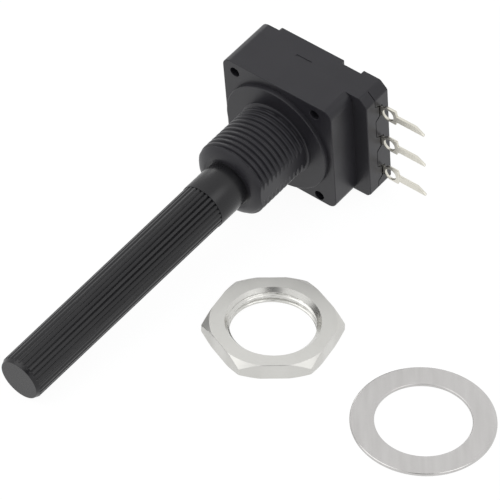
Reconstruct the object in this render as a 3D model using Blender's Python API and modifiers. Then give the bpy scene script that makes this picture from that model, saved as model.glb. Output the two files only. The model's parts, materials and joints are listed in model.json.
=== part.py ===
"""Panel-mount incremental rotary encoder, lying on a table beside its loose hex nut and washer.

Metres, +Z up. The encoder is built in its own frame, with the panel face at depth 0, the shaft axis
along Y, depth growing into the body and the terminals on +X. Its parent empty then tips it on to the
table, where it rests on the bottom edge of its panel face and on the tip of its shaft.
"""

import math

import bmesh
import bpy
from mathutils import Vector

# Clearances
FIT_GAP = 0.0001
RUNNING_GAP = 0.00008
SEAM_GAP = 0.0001

# Body moulding
BODY_SIDE = 0.0160
AXIS_FROM_LEFT = 0.00786
AXIS_FROM_BOTTOM = 0.00771
CORNER_RADIUS = 0.0012
SIDE_WALL = 0.0011
FRONT_WALL = 0.0012
PARTING_DEPTH = 0.0054

# Corner holes in the housing, each taking a post of the cover
HOLE_RADIUS = 0.00065
HOLE_FROM_LEFT = 0.00178
HOLE_FROM_RIGHT = 0.00249
HOLE_FROM_TOP = 0.00149
HOLE_FROM_BOTTOM = 0.00091
POST_SETBACK = 0.0012

# Slot in the top edge where the two mouldings are prised apart
PRY_SLOT_WIDTH = 0.0023
PRY_SLOT_DEPTH = 0.0005
PRY_SLOT_LENGTH = 0.00025

# Boss and threaded bushing
BOSS_MARGIN = 0.00036
BOSS_HEIGHT = 0.0006
BUSHING_LENGTH = 0.00945
THREAD_RADIUS = 0.00492
THREAD_PITCH = 0.00075
THREAD_DEPTH = 0.00042
LEAD_IN = 0.00055
KEY_FLAT_DEPTH = 0.00032
MOUTH_WIDTH = 0.00065
MOUTH_DEPTH = 0.0008

# Terminal block
BLOCK_START_DEPTH = 0.0039
BLOCK_REACH = 0.0021
BLOCK_TOP_CHAMFER = 0.0010
BLOCK_BOTTOM_CHAMFER = 0.0005
TONGUE_BASE_WIDTH = 0.00245
TONGUE_TIP_WIDTH = 0.00145
TONGUE_ROOT = 0.0006

# Rear cover
COVER_WALL = 0.00053
COVER_LEDGE = 0.00045
PAD_RISE = 0.0005
PAD_FROM_LEFT = 0.0025
PAD_WIDTH = 0.0097
BAR_WIDTH = 0.0034

# Shaft
SHAFT_RADIUS = 0.00297
NECK_GAP = 0.0008
NECK_LENGTH = 0.0038
RELIEF_RADIUS = 0.00245
RELIEF_LENGTH = 0.0014
FLUTED_LENGTH = 0.03145
FLUTE_COUNT = 30
FLUTE_DEPTH = 0.0002
FLUTE_SHARE = 0.5
FLUTE_PHASE = math.radians(4.5)
FLUTED_STEP = 0.00006
FLUTED_TAPER = 0.00008
TIP_CHAMFER = 0.0006
DRIVE_RADIUS = 0.0025
DRIVE_FLAT = 0.0020
SPIGOT_RADIUS = 0.0012

# Turning stack and detent
THRUST_THICKNESS = 0.00025
THRUST_WIDTH = 0.0018
WHEEL_THICKNESS = 0.0010
DETENT_COUNT = 24
DETENT_DEPTH = 0.00035
SPRING_ROOM = 0.0012
SPRING_THICKNESS = 0.00025
SPRING_SPAN = math.radians(45)
SPRING_FOOT = 0.0008
NUB_SPREAD = math.radians(3)
CARRIER_THICKNESS = 0.0010
CARRIER_MARGIN = 0.0007
DISC_THICKNESS = 0.0002
DISC_MARGIN = 0.0003
COMMON_TRACK_WIDTH = 0.0012

# Contacts and terminals
BASE_THICKNESS = 0.0007
BRUSH_THICKNESS = 0.0002
BRUSH_WIDTH = 0.0013
BRUSH_PAD = 0.00065
BRUSH_TOE = 0.0004
RIVET_RADIUS = 0.00035
RIVET_HEAD_RADIUS = 0.0006
RIVET_HEAD = 0.00018
COMMON_RIVET_X = 0.0053
TERMINAL_THICKNESS = 0.0004
TERMINAL_PITCH = 0.0050
STRIP_WIDTH = 0.0013
STRIP_END = 0.0007
TAB_WIDTH = 0.0021
TAB_LENGTH = 0.0021
EYE_RADIUS = 0.00075
EYE_FROM_BLOCK = 0.00113
SHOULDER_LENGTH = 0.00065
PIN_WIDTH = 0.0006
PIN_LENGTH = 0.00295
PIN_POINT = 0.0005

# Loose nut and washer, placed on the table from the point below the panel face's axis
NUT_ACROSS_FLATS = 0.0141
NUT_THICKNESS = 0.0021
NUT_LAND = 0.0002
NUT_CHAMFER = 0.00045
NUT_COUNTERSINK = 0.00085
NUT_TO_RIGHT = 0.01531
NUT_TO_FRONT = 0.01991
NUT_YAW = math.radians(-19.5)
WASHER_RADIUS = 0.00815
WASHER_THICKNESS = 0.00045
WASHER_HOLE_PLAY = 0.0005
WASHER_TO_RIGHT = 0.03663
WASHER_TO_FRONT = 0.02003

# Roundness
FINE_SEGMENTS = 48
SMALL_SEGMENTS = 16
CORNER_SEGMENTS = 6
WAVE_STEPS = 6
OVERLAP = 0.0004
MERGE_DISTANCE = 0.00001

# Ways an outline is turned before it is extruded along its local Z
FACING_SHAFT = (math.pi / 2, 0, 0)
SIDEWAYS = (math.pi / 2, 0, math.pi / 2)
UPWARD = (0, 0, 0)

# Sides of the body, measured from the shaft axis
LEFT = -AXIS_FROM_LEFT
RIGHT = BODY_SIDE - AXIS_FROM_LEFT
BOTTOM = -AXIS_FROM_BOTTOM
TOP = BODY_SIDE - AXIS_FROM_BOTTOM
LEAST_SIDE = min(-LEFT, RIGHT, -BOTTOM, TOP)
CAVITY_RADIUS = LEAST_SIDE - SIDE_WALL
BLOCK_END = RIGHT + BLOCK_REACH
POST_PLACES = [
    (x, z)
    for x in (LEFT + HOLE_FROM_LEFT, RIGHT - HOLE_FROM_RIGHT)
    for z in (BOTTOM + HOLE_FROM_BOTTOM, TOP - HOLE_FROM_TOP)
]

# Depths of the turning stack, from the front wall back
BORE_RADIUS = SHAFT_RADIUS + RUNNING_GAP
THRUST_FRONT = FRONT_WALL + FIT_GAP
THRUST_REAR = THRUST_FRONT + THRUST_THICKNESS
WHEEL_FRONT = THRUST_REAR + FIT_GAP
WHEEL_REAR = WHEEL_FRONT + WHEEL_THICKNESS
CARRIER_FRONT = WHEEL_REAR + FIT_GAP
CARRIER_REAR = CARRIER_FRONT + CARRIER_THICKNESS
DISC_FRONT = CARRIER_REAR + FIT_GAP
DISC_REAR = DISC_FRONT + DISC_THICKNESS

# Depths of the fixed stack, from the seam back
HOUSING_REAR = PARTING_DEPTH - SEAM_GAP / 2
COVER_FRONT = PARTING_DEPTH + SEAM_GAP / 2
BASE_FRONT = HOUSING_REAR + FIT_GAP
BASE_REAR = BASE_FRONT + BASE_THICKNESS
TERMINAL_FRONT = BASE_REAR + FIT_GAP
TERMINAL_REAR = TERMINAL_FRONT + TERMINAL_THICKNESS
COVER_FLOOR = TERMINAL_REAR + FIT_GAP
COVER_REAR = COVER_FLOOR + COVER_WALL
PAD_REAR = COVER_REAR + PAD_RISE
TONGUE_TIP = TERMINAL_FRONT - FIT_GAP
BRUSH_REAR = BASE_FRONT - FIT_GAP

# Radii that follow from the cavity and the shaft
RECESS_RADIUS = CAVITY_RADIUS + COVER_LEDGE
BASE_RADIUS = RECESS_RADIUS - FIT_GAP
WHEEL_RADIUS = CAVITY_RADIUS - SPRING_ROOM
CARRIER_RADIUS = CAVITY_RADIUS - CARRIER_MARGIN
DISC_RADIUS = CARRIER_RADIUS - DISC_MARGIN
DISC_BORE = DRIVE_RADIUS + RUNNING_GAP
COMMON_TRACK_RADIUS = DISC_BORE + COMMON_TRACK_WIDTH

# Distances forward of the panel face along the shaft
NECK_START = BUSHING_LENGTH + NECK_GAP
NECK_END = NECK_START + NECK_LENGTH
SHAFT_TIP = NECK_END + FLUTED_LENGTH
NECK_RIM = FLUTED_STEP / 2
FLUTED_RADIUS = SHAFT_RADIUS - FLUTED_STEP
TIP_RADIUS = FLUTED_RADIUS - FLUTED_TAPER
DRIVE_END = DISC_REAR + FIT_GAP
SPIGOT_END = BASE_REAR - FIT_GAP

# The outer rivets stand as far out as their brush pads fit in the round cavity
OUTER_BRUSH_SIDE = TERMINAL_PITCH + BRUSH_WIDTH / 2
OUTER_RIVET_X = math.sqrt((CAVITY_RADIUS - FIT_GAP) ** 2 - OUTER_BRUSH_SIDE ** 2) - BRUSH_PAD

TERMINALS = [
    ("a", TERMINAL_PITCH, OUTER_RIVET_X),
    ("common", 0.0, COMMON_RIVET_X),
    ("b", -TERMINAL_PITCH, OUTER_RIVET_X),
]

BLACK_PLASTIC = ((0.030, 0.030, 0.032), 0.5, 0.0)
DARK_PLASTIC = ((0.045, 0.045, 0.048), 0.45, 0.0)
NATURAL_PLASTIC = ((0.72, 0.70, 0.64), 0.5, 0.0)
BOARD_BROWN = ((0.24, 0.13, 0.06), 0.6, 0.0)
TINNED = ((0.72, 0.71, 0.66), 0.35, 1.0)
BRONZE = ((0.62, 0.42, 0.22), 0.35, 1.0)
SPRING_STEEL = ((0.55, 0.55, 0.56), 0.3, 1.0)
PLATED_STEEL = ((0.68, 0.69, 0.70), 0.32, 1.0)


def clear_scene():
    for obj in list(bpy.data.objects):
        bpy.data.objects.remove(obj, do_unlink=True)


def make_collection(name):
    collection = bpy.data.collections.new(name)
    bpy.context.scene.collection.children.link(collection)
    return collection


def make_empty(name, parent=None):
    empty = bpy.data.objects.new(name, None)
    PARTS.objects.link(empty)
    empty.parent = parent
    return empty


def finish_piece(obj, name, finish, parent):
    """Names a piece, gives it its own material and hangs it on its parent empty."""
    colour, roughness, metallic = finish
    material = bpy.data.materials.new(name)
    material.use_nodes = True
    shader = material.node_tree.nodes["Principled BSDF"]
    shader.inputs["Base Color"].default_value = (*colour, 1.0)
    shader.inputs["Roughness"].default_value = roughness
    shader.inputs["Metallic"].default_value = metallic
    obj.name = name
    obj.data.name = name
    obj.data.materials.clear()
    obj.data.materials.append(material)
    obj.parent = parent
    return obj


def arc(radius, start, end, steps, centre=(0.0, 0.0)):
    """Points on an arc, with both ends."""
    points = []
    for step in range(steps + 1):
        angle = start + (end - start) * step / steps
        points.append((centre[0] + radius * math.cos(angle), centre[1] + radius * math.sin(angle)))
    return points


def circle(radius, segments, centre=(0.0, 0.0)):
    return arc(radius, 0.0, 2 * math.pi, segments, centre)[:-1]


def rounded_rectangle(left, bottom, right, top, radius):
    corners = [
        (right - radius, top - radius),
        (left + radius, top - radius),
        (left + radius, bottom + radius),
        (right - radius, bottom + radius),
    ]
    points = []
    for index, centre in enumerate(corners):
        start = index * math.pi / 2
        points += arc(radius, start, start + math.pi / 2, CORNER_SEGMENTS, centre)
    return points


def double_flat(radius, half_flat):
    """Round bar with two opposite flats, above and below the axis."""
    reach = math.asin(half_flat / radius)
    return (
        arc(radius, -reach, reach, SMALL_SEGMENTS // 2)
        + arc(radius, math.pi - reach, math.pi + reach, SMALL_SEGMENTS // 2)
    )


def strip_outline(points, thickness):
    """Closed outline of a bent strip, from the points of its centre line."""
    line = [Vector(point) for point in points]
    upper, lower = [], []
    for index, point in enumerate(line):
        before = point - line[index - 1] if index else line[1] - point
        after = line[index + 1] - point if index + 1 < len(line) else before
        normal_before = before.orthogonal().normalized()
        mitre = (normal_before + after.orthogonal().normalized()).normalized()
        offset = mitre * (thickness / 2 / mitre.dot(normal_before))
        upper.append(point + offset)
        lower.append(point - offset)
    return upper + lower[::-1]


def extruded(outlines, start, end, turn, place=(0.0, 0.0, 0.0)):
    """Mesh of a flat 2D curve with its holes, extruded between two distances along its local Z."""
    curve = bpy.data.curves.new("outline", "CURVE")
    curve.dimensions = "2D"
    curve.fill_mode = "BOTH"
    curve.extrude = abs(end - start) / 2
    for outline in outlines:
        spline = curve.splines.new("POLY")
        spline.points.add(len(outline) - 1)
        spline.use_cyclic_u = True
        for point, (x, y) in zip(spline.points, outline):
            point.co = (x, y, 0.0, 1.0)
    flat = bpy.data.objects.new("outline", curve)
    PARTS.objects.link(flat)
    flat.rotation_euler = turn
    middle = Vector((0.0, 0.0, (start + end) / 2))
    flat.location = Vector(place) + flat.rotation_euler.to_matrix() @ middle
    bpy.context.view_layer.update()
    evaluated = flat.evaluated_get(bpy.context.evaluated_depsgraph_get())
    mesh = bpy.data.meshes.new_from_object(evaluated)
    weld_caps(mesh)
    solid = bpy.data.objects.new("solid", mesh)
    solid.matrix_world = flat.matrix_world
    bpy.data.objects.remove(flat, do_unlink=True)
    PARTS.objects.link(solid)
    return solid


def weld_caps(mesh):
    cage = bmesh.new()
    cage.from_mesh(mesh)
    bmesh.ops.remove_doubles(cage, verts=cage.verts, dist=MERGE_DISTANCE)
    bmesh.ops.recalc_face_normals(cage, faces=cage.faces)
    cage.to_mesh(mesh)
    cage.free()
    mesh.shade_smooth()
    mesh.set_sharp_from_angle(angle=math.radians(35))


def plate(outlines, front, rear):
    """Flat piece facing the shaft, its outline in X and Z, between two depths."""
    return extruded(outlines, -rear, -front, FACING_SHAFT)


def turned(profile, segments, closed=False, place=(0.0, 0.0, 0.0), turn=FACING_SHAFT):
    """Solid turned about the shaft direction, from (radius, distance forward) points, tip to back."""
    mesh = bpy.data.meshes.new("turned")
    edges = [(index, index + 1) for index in range(len(profile) - 1)]
    if closed:
        edges.append((len(profile) - 1, 0))
    mesh.from_pydata([(radius, 0.0, height) for radius, height in profile], edges, [])
    solid = bpy.data.objects.new("turned", mesh)
    screw = solid.modifiers.new("Screw", "SCREW")
    screw.steps = segments
    screw.render_steps = segments
    screw.use_merge_vertices = True
    screw.merge_threshold = MERGE_DISTANCE
    solid.rotation_euler = turn
    solid.location = place
    PARTS.objects.link(solid)
    return solid


def lofted(rings):
    """Solid skinned from ring to ring, over rings of (x, distance forward, z) points, tip to back."""
    count = len(rings[0])
    vertices = [(x, -forward, z) for ring in rings for x, forward, z in ring]
    last_ring = len(vertices) - count
    faces = [tuple(range(count)), tuple(range(last_ring, len(vertices)))]
    for start in range(0, last_ring, count):
        for index in range(count):
            here = start + index
            after = start + (index + 1) % count
            faces.append((here, after, after + count, here + count))
    mesh = bpy.data.meshes.new("lofted")
    mesh.from_pydata(vertices, [], faces)
    weld_caps(mesh)
    solid = bpy.data.objects.new("lofted", mesh)
    PARTS.objects.link(solid)
    return solid


def block(low, high):
    """Box between two corners."""
    size = Vector(high) - Vector(low)
    mesh = bpy.data.meshes.new("block")
    cage = bmesh.new()
    bmesh.ops.create_cube(cage, size=1.0)
    bmesh.ops.scale(cage, vec=size, verts=cage.verts)
    cage.to_mesh(mesh)
    cage.free()
    solid = bpy.data.objects.new("block", mesh)
    solid.location = (Vector(high) + Vector(low)) / 2
    PARTS.objects.link(solid)
    return solid


def combine(target, tool, operation, name):
    """Boolean with a tool that moves to the cutters and hangs on the target's parent."""
    PARTS.objects.unlink(tool)
    CUTTERS.objects.link(tool)
    tool.name = f"{target.name}_{name}"
    tool.parent = target.parent
    tool.hide_render = True
    tool.display_type = "WIRE"
    boolean = target.modifiers.new(name, "BOOLEAN")
    boolean.operation = operation
    boolean.solver = "EXACT"
    boolean.object = tool


def body_outline():
    return rounded_rectangle(LEFT, BOTTOM, RIGHT, TOP, CORNER_RADIUS)


def block_outline(inner):
    """Terminal block seen from the front, from an inner side out to its chamfered end."""
    return [
        (inner, BOTTOM),
        (BLOCK_END - BLOCK_BOTTOM_CHAMFER, BOTTOM),
        (BLOCK_END, BOTTOM + BLOCK_BOTTOM_CHAMFER),
        (BLOCK_END, TOP - BLOCK_TOP_CHAMFER),
        (BLOCK_END - BLOCK_TOP_CHAMFER, TOP),
        (inner, TOP),
    ]


def bushing_profile():
    """Boss and thread, with the thread turned as plain ridges, from the end back into the wall."""
    root = THREAD_RADIUS - THREAD_DEPTH
    thread_end = BUSHING_LENGTH - LEAD_IN
    ridges = int((thread_end - BOSS_HEIGHT) / THREAD_PITCH)
    boss_radius = LEAST_SIDE - BOSS_MARGIN
    points = [(0.0, BUSHING_LENGTH), (root, BUSHING_LENGTH), (THREAD_RADIUS, thread_end)]
    for ridge in range(1, ridges):
        crest = thread_end - ridge * THREAD_PITCH
        points.append((root, crest + THREAD_PITCH / 2))
        points.append((THREAD_RADIUS, crest))
    points.append((root, thread_end - (ridges - 0.5) * THREAD_PITCH))
    points += [(THREAD_RADIUS, BOSS_HEIGHT), (boss_radius, BOSS_HEIGHT)]
    points += [(boss_radius, -FRONT_WALL / 2), (0.0, -FRONT_WALL / 2)]
    return points


def bore_profile():
    """Running bore for the shaft with its wide mouth, reaching past both ends."""
    mouth = BORE_RADIUS + MOUTH_WIDTH
    return [
        (0.0, BUSHING_LENGTH + OVERLAP),
        (mouth, BUSHING_LENGTH + OVERLAP),
        (mouth, BUSHING_LENGTH),
        (BORE_RADIUS, BUSHING_LENGTH - MOUTH_DEPTH),
        (BORE_RADIUS, -FRONT_WALL - OVERLAP),
        (0.0, -FRONT_WALL - OVERLAP),
    ]


def spring_foot(side):
    """Direction of one foot of the detent spring, seen from the front."""
    angle = math.pi / 2 + side * SPRING_SPAN
    return Vector((math.cos(angle), math.sin(angle)))


def make_housing(encoder):
    holes = [circle(HOLE_RADIUS, SMALL_SEGMENTS, place) for place in POST_PLACES]
    housing = plate([body_outline()] + holes, 0.0, HOUSING_REAR)
    finish_piece(housing, "housing", BLACK_PLASTIC, encoder)
    inner = RIGHT - CORNER_RADIUS
    combine(housing, plate([block_outline(inner)], BLOCK_START_DEPTH, HOUSING_REAR), "UNION", "block")
    for name, z, _ in TERMINALS:
        tongue = [
            (HOUSING_REAR - OVERLAP, z - TONGUE_BASE_WIDTH / 2),
            (HOUSING_REAR, z - TONGUE_BASE_WIDTH / 2),
            (TONGUE_TIP, z - TONGUE_TIP_WIDTH / 2),
            (TONGUE_TIP, z + TONGUE_TIP_WIDTH / 2),
            (HOUSING_REAR, z + TONGUE_BASE_WIDTH / 2),
            (HOUSING_REAR - OVERLAP, z + TONGUE_BASE_WIDTH / 2),
        ]
        solid = extruded([tongue], RIGHT - TONGUE_ROOT, BLOCK_END - FIT_GAP, SIDEWAYS)
        combine(housing, solid, "UNION", f"tongue_{name}")
    combine(housing, turned(bushing_profile(), FINE_SEGMENTS), "UNION", "bushing")
    flat = THREAD_RADIUS - KEY_FLAT_DEPTH
    for name, side in (("right", 1), ("left", -1)):
        inner_side, outer_side = sorted((side * flat, side * LEAST_SIDE))
        low = (inner_side, -BUSHING_LENGTH - OVERLAP, BOTTOM)
        high = (outer_side, -BOSS_HEIGHT, TOP)
        combine(housing, block(low, high), "DIFFERENCE", f"flat_{name}")
    combine(housing, turned(bore_profile(), FINE_SEGMENTS), "DIFFERENCE", "bore")
    cavity = plate([circle(CAVITY_RADIUS, FINE_SEGMENTS)], FRONT_WALL, HOUSING_REAR + OVERLAP)
    combine(housing, cavity, "DIFFERENCE", "cavity")
    for name, side in (("left", 1), ("right", -1)):
        foot = spring_foot(side)
        pocket = [foot * (CAVITY_RADIUS - OVERLAP), foot * (CAVITY_RADIUS + SPRING_FOOT + FIT_GAP)]
        outline = strip_outline(pocket, SPRING_THICKNESS + 2 * FIT_GAP)
        solid = plate([outline], WHEEL_FRONT - FIT_GAP, HOUSING_REAR + OVERLAP)
        combine(housing, solid, "DIFFERENCE", f"pocket_{name}")
    slot_low = (-PRY_SLOT_WIDTH / 2, HOUSING_REAR - PRY_SLOT_LENGTH, TOP - PRY_SLOT_DEPTH)
    slot_high = (PRY_SLOT_WIDTH / 2, HOUSING_REAR + OVERLAP, TOP + OVERLAP)
    combine(housing, block(slot_low, slot_high), "DIFFERENCE", "pry_slot")


def make_rear_cover(encoder):
    cover = plate([body_outline()], COVER_FRONT, COVER_REAR)
    finish_piece(cover, "rear_cover", BLACK_PLASTIC, encoder)
    inner = RIGHT - CORNER_RADIUS
    combine(cover, plate([block_outline(inner)], COVER_FRONT, COVER_REAR), "UNION", "block")
    pad_left = LEFT + PAD_FROM_LEFT
    pad = rounded_rectangle(pad_left, BOTTOM, pad_left + PAD_WIDTH, TOP, CORNER_RADIUS / 2)
    combine(cover, plate([pad], COVER_REAR - COVER_WALL / 2, PAD_REAR), "UNION", "pad")
    bar = plate([block_outline(BLOCK_END - BAR_WIDTH)], COVER_REAR - COVER_WALL / 2, PAD_REAR)
    combine(cover, bar, "UNION", "bar")
    recess = plate([circle(RECESS_RADIUS, FINE_SEGMENTS)], COVER_FRONT - OVERLAP, COVER_FLOOR)
    combine(cover, recess, "DIFFERENCE", "recess")
    slot_half = STRIP_WIDTH / 2 + FIT_GAP
    base_half = TONGUE_BASE_WIDTH / 2 + FIT_GAP
    tip_half = max(TONGUE_TIP_WIDTH / 2 + FIT_GAP, slot_half)
    for name, z, rivet_x in TERMINALS:
        channel = [
            (COVER_FRONT - OVERLAP, z - base_half),
            (COVER_FRONT, z - base_half),
            (TERMINAL_FRONT, z - tip_half),
            (TERMINAL_FRONT, z - slot_half),
            (COVER_FLOOR, z - slot_half),
            (COVER_FLOOR, z + slot_half),
            (TERMINAL_FRONT, z + slot_half),
            (TERMINAL_FRONT, z + tip_half),
            (COVER_FRONT, z + base_half),
            (COVER_FRONT - OVERLAP, z + base_half),
        ]
        solid = extruded([channel], rivet_x, BLOCK_END + OVERLAP, SIDEWAYS)
        combine(cover, solid, "DIFFERENCE", f"channel_{name}")
        pocket = plate(
            [circle(RIVET_HEAD_RADIUS + FIT_GAP, SMALL_SEGMENTS, (rivet_x, z))],
            COVER_FLOOR - OVERLAP,
            COVER_FLOOR + RIVET_HEAD + FIT_GAP,
        )
        combine(cover, pocket, "DIFFERENCE", f"rivet_pocket_{name}")
    for index, place in enumerate(POST_PLACES):
        outline = circle(HOLE_RADIUS - FIT_GAP, SMALL_SEGMENTS, place)
        combine(cover, plate([outline], POST_SETBACK, COVER_FLOOR), "UNION", f"post_{index + 1}")


def flute_points():
    """Angles of the points round the shaft, each with 1 at the bottom of a flute and 0 beside it."""
    pitch = 2 * math.pi / FLUTE_COUNT
    half_flute = pitch * FLUTE_SHARE / 2
    points = []
    for flute in range(FLUTE_COUNT):
        bottom = FLUTE_PHASE + flute * pitch
        points += [(bottom - half_flute, 0), (bottom, 1), (bottom + half_flute, 0)]
    return points


def shaft_ring(radius, forward, flute=0.0, lead=0.0, flat=SHAFT_RADIUS):
    """One ring of the shaft, with flutes of a depth, led forward at their bottoms, and two flats."""
    ring = []
    for angle, bottom in flute_points():
        reach = radius - flute * bottom
        z = max(-flat, min(flat, reach * math.sin(angle)))
        ring.append((reach * math.cos(angle), forward + lead * bottom, z))
    return ring


def make_shaft(spindle):
    relief_end = NECK_START - RELIEF_LENGTH
    shoulder = -(WHEEL_FRONT - FIT_GAP)
    rings = [
        shaft_ring(TIP_RADIUS - TIP_CHAMFER, SHAFT_TIP),
        shaft_ring(TIP_RADIUS, SHAFT_TIP - TIP_CHAMFER, flute=FLUTE_DEPTH, lead=FLUTE_DEPTH),
        shaft_ring(FLUTED_RADIUS, NECK_END, flute=FLUTE_DEPTH),
        shaft_ring(SHAFT_RADIUS - NECK_RIM, NECK_END),
        shaft_ring(SHAFT_RADIUS, NECK_END - NECK_RIM),
        shaft_ring(SHAFT_RADIUS, NECK_START + NECK_RIM),
        shaft_ring(SHAFT_RADIUS - NECK_RIM, NECK_START),
        shaft_ring(RELIEF_RADIUS, NECK_START),
        shaft_ring(RELIEF_RADIUS, relief_end),
        shaft_ring(SHAFT_RADIUS, relief_end),
        shaft_ring(SHAFT_RADIUS, shoulder),
        shaft_ring(DRIVE_RADIUS, shoulder, flat=DRIVE_FLAT),
        shaft_ring(DRIVE_RADIUS, -DRIVE_END, flat=DRIVE_FLAT),
        shaft_ring(SPIGOT_RADIUS, -DRIVE_END),
        shaft_ring(SPIGOT_RADIUS, -SPIGOT_END),
    ]
    finish_piece(lofted(rings), "shaft", DARK_PLASTIC, spindle)


def drive_bore():
    return double_flat(DRIVE_RADIUS + RUNNING_GAP, DRIVE_FLAT + RUNNING_GAP)


def make_turning_stack(spindle):
    washer = plate(
        [
            circle(SHAFT_RADIUS + FIT_GAP + THRUST_WIDTH, FINE_SEGMENTS),
            circle(SHAFT_RADIUS + FIT_GAP, FINE_SEGMENTS),
        ],
        THRUST_FRONT,
        THRUST_REAR,
    )
    finish_piece(washer, "thrust_washer", NATURAL_PLASTIC, spindle)
    wave = []
    for step in range(DETENT_COUNT * WAVE_STEPS):
        angle = 2 * math.pi * step / (DETENT_COUNT * WAVE_STEPS)
        fall = (1 + math.cos(DETENT_COUNT * angle)) / 2
        radius = WHEEL_RADIUS - DETENT_DEPTH * fall
        wave.append((radius * math.cos(angle), radius * math.sin(angle)))
    wheel = plate([wave, drive_bore()], WHEEL_FRONT, WHEEL_REAR)
    finish_piece(wheel, "detent_wheel", NATURAL_PLASTIC, spindle)
    rim = circle(CARRIER_RADIUS, FINE_SEGMENTS)
    carrier = plate([rim, drive_bore()], CARRIER_FRONT, CARRIER_REAR)
    finish_piece(carrier, "code_carrier", NATURAL_PLASTIC, spindle)
    pitch = 2 * math.pi / DETENT_COUNT
    teeth = []
    for tooth in range(DETENT_COUNT):
        middle = tooth * pitch
        teeth += arc(DISC_RADIUS, middle - pitch / 4, middle + pitch / 4, 2)
        teeth += arc(COMMON_TRACK_RADIUS, middle + pitch / 4, middle + 3 * pitch / 4, 2)
    disc = plate([teeth, circle(DISC_BORE, FINE_SEGMENTS)], DISC_FRONT, DISC_REAR)
    finish_piece(disc, "code_disc", BRONZE, spindle)


def make_detent_spring(encoder):
    leaf = WHEEL_RADIUS + FIT_GAP + SPRING_THICKNESS / 2
    anchor = CAVITY_RADIUS - FIT_GAP - SPRING_THICKNESS / 2
    nub = WHEEL_RADIUS - DETENT_DEPTH + FIT_GAP + SPRING_THICKNESS * math.sqrt(0.5)
    half = [(SPRING_SPAN, CAVITY_RADIUS + SPRING_FOOT)]
    for step in range(WAVE_STEPS + 1):
        share = step / WAVE_STEPS
        angle = SPRING_SPAN + (NUB_SPREAD - SPRING_SPAN) * share
        half.append((angle, anchor + (leaf - anchor) * share))
    polar = half + [(0.0, nub)] + [(-angle, radius) for angle, radius in reversed(half)]
    line = []
    for angle, radius in polar:
        direction = math.pi / 2 + angle
        line.append((radius * math.cos(direction), radius * math.sin(direction)))
    spring = plate([strip_outline(line, SPRING_THICKNESS)], WHEEL_FRONT, WHEEL_REAR)
    finish_piece(spring, "detent_spring", SPRING_STEEL, encoder)


def make_contact_base(encoder):
    holes = [circle(SPIGOT_RADIUS + RUNNING_GAP, SMALL_SEGMENTS)]
    for _, z, rivet_x in TERMINALS:
        holes.append(circle(RIVET_RADIUS + FIT_GAP, SMALL_SEGMENTS, (rivet_x, z)))
    base = plate([circle(BASE_RADIUS, FINE_SEGMENTS)] + holes, BASE_FRONT, BASE_REAR)
    finish_piece(base, "contact_base", BOARD_BROWN, encoder)


def brush_contact(name):
    """Where a brush meets the code disc: A and B stand a quarter of a step apart on the teeth."""
    if name == "common":
        return (DISC_BORE + COMMON_TRACK_RADIUS) / 2
    quarter_step = 2 * math.pi / DETENT_COUNT / 4
    return TERMINAL_PITCH * math.tan(quarter_step) if name == "b" else 0.0


def make_contacts(encoder):
    middle = BRUSH_REAR - BRUSH_THICKNESS / 2
    touch = DISC_REAR + FIT_GAP + BRUSH_THICKNESS
    for name, z, rivet_x in TERMINALS:
        contact = brush_contact(name)
        line = [
            (rivet_x + BRUSH_PAD, middle),
            (rivet_x - BRUSH_PAD, middle),
            (contact, touch),
            (contact - BRUSH_TOE, touch + BRUSH_TOE / 2),
        ]
        outline = strip_outline(line, BRUSH_THICKNESS)
        brush = extruded([outline], z - BRUSH_WIDTH / 2, z + BRUSH_WIDTH / 2, UPWARD)
        finish_piece(brush, f"brush_{name}", BRONZE, encoder)
        hole = plate(
            [circle(RIVET_RADIUS + FIT_GAP, SMALL_SEGMENTS, (rivet_x, z))],
            BRUSH_REAR - BRUSH_THICKNESS - OVERLAP,
            BRUSH_REAR + OVERLAP,
        )
        combine(brush, hole, "DIFFERENCE", "rivet_hole")
        make_rivet(encoder, name, (rivet_x, 0.0, z))
        make_terminal(encoder, name, z, rivet_x)


def make_rivet(encoder, name, place):
    front_seat = -(BRUSH_REAR - BRUSH_THICKNESS - FIT_GAP)
    rear_seat = -COVER_FLOOR
    profile = [
        (0.0, front_seat + RIVET_HEAD),
        (RIVET_HEAD_RADIUS, front_seat + RIVET_HEAD),
        (RIVET_HEAD_RADIUS, front_seat),
        (RIVET_RADIUS, front_seat),
        (RIVET_RADIUS, rear_seat),
        (RIVET_HEAD_RADIUS, rear_seat),
        (RIVET_HEAD_RADIUS, rear_seat - RIVET_HEAD),
        (0.0, rear_seat - RIVET_HEAD),
    ]
    rivet = turned(profile, SMALL_SEGMENTS, place=place)
    finish_piece(rivet, f"rivet_{name}", TINNED, encoder)


def make_terminal(encoder, name, z, rivet_x):
    tab_start = BLOCK_END + FIT_GAP
    tab_end = BLOCK_END + TAB_LENGTH
    pin_start = tab_end + SHOULDER_LENGTH
    pin_end = pin_start + PIN_LENGTH
    half = [
        (rivet_x - STRIP_END, STRIP_WIDTH / 2),
        (tab_start, STRIP_WIDTH / 2),
        (tab_start, TAB_WIDTH / 2),
        (tab_end, TAB_WIDTH / 2),
        (pin_start, PIN_WIDTH / 2),
        (pin_end, PIN_WIDTH / 2),
        (pin_end + PIN_POINT, PIN_WIDTH / 6),
    ]
    outline = [(x, z - offset) for x, offset in half] + [(x, z + offset) for x, offset in reversed(half)]
    holes = [
        circle(EYE_RADIUS, SMALL_SEGMENTS, (BLOCK_END + EYE_FROM_BLOCK, z)),
        circle(RIVET_RADIUS + FIT_GAP, SMALL_SEGMENTS, (rivet_x, z)),
    ]
    terminal = plate([outline] + holes, TERMINAL_FRONT, TERMINAL_REAR)
    finish_piece(terminal, f"terminal_{name}", TINNED, encoder)


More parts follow.
